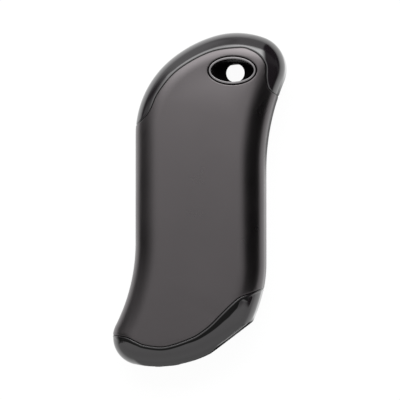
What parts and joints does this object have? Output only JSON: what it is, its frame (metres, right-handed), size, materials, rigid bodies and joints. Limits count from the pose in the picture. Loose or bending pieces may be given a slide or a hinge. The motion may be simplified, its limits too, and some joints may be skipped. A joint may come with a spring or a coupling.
{
  "type": "rechargeable hand warmer",
  "caption": "Palm-sized S-curved rechargeable hand warmer and power bank with satin metal shells, gloss end caps, a lanyard eyelet, charge and output sockets and a heat button.",
  "frame": {"origin": "middle of the bounding box in X and Y, on the plane that the back face rests on", "axes": "+Z out of the front face, +Y along the body towards the lanyard eyelet, +X to the right as seen from the front"},
  "size_m": [0.059, 0.1138, 0.025],
  "materials": {
    "shell": "satin, anodised graphite",
    "cap": "gloss black",
    "eyelet": "gloss black",
    "button": "satin black",
    "clear": "clear",
    "frame": "moulded",
    "cell": "shrink-wrapped",
    "insulator": "card",
    "nickel": "rolled strip",
    "red_wire": "insulated wire",
    "black_wire": "insulated wire",
    "white_wire": "insulated wire",
    "heater_film": "translucent film",
    "foam": "closed-cell foam",
    "board": "solder mask",
    "chip": "moulded",
    "ferrite": "sintered",
    "capacitor": "ceramic",
    "socket_metal": "plated",
    "white_plastic": "moulded",
    "contact": "plated",
    "light": "clear lens",
    "screw": "plated"
  },
  "bodies": {
    "warmer": {"front_shell": "shell", "back_shell": "shell", "top_cap": "cap", "bottom_cap": "cap", "lanyard_eyelet": "eyelet", "cell_frame": "frame", "left_cell": "cell", "right_cell": "cell", "cell_insulator_rings": "insulator", "positive_strip": "nickel", "negative_strip": "nickel", "positive_lead": "red_wire", "negative_lead": "black_wire", "front_heater_film": "heater_film", "back_heater_film": "heater_film", "front_foam_pad": "foam", "back_foam_pad": "foam", "front_heater_leads": "white_wire", "back_heater_leads": "white_wire", "temperature_sensor": "black_wire", "main_board": "board", "controller_chip": "chip", "power_inductor": "ferrite", "power_transistors": "chip", "board_capacitors": "capacitor", "output_socket_shell": "socket_metal", "output_socket_tongue": "white_plastic", "output_socket_contacts": "contact", "charge_socket_shell": "socket_metal", "charge_socket_tongue": "chip", "level_lights": "light", "light_guide": "clear", "switch_housing": "chip", "cap_screws": "screw", "board_screws": "screw"},
    "button": {"power_button": "button", "switch_plunger": "white_plastic"}
  },
  "joints": [
    {"name": "button_press", "type": "slide", "parent": "warmer", "child": "button", "axis": [0.0899, -0.9959, 0], "range_m": [-0.0004, 0], "stiffness_N_per_m": 5000}
  ]
}
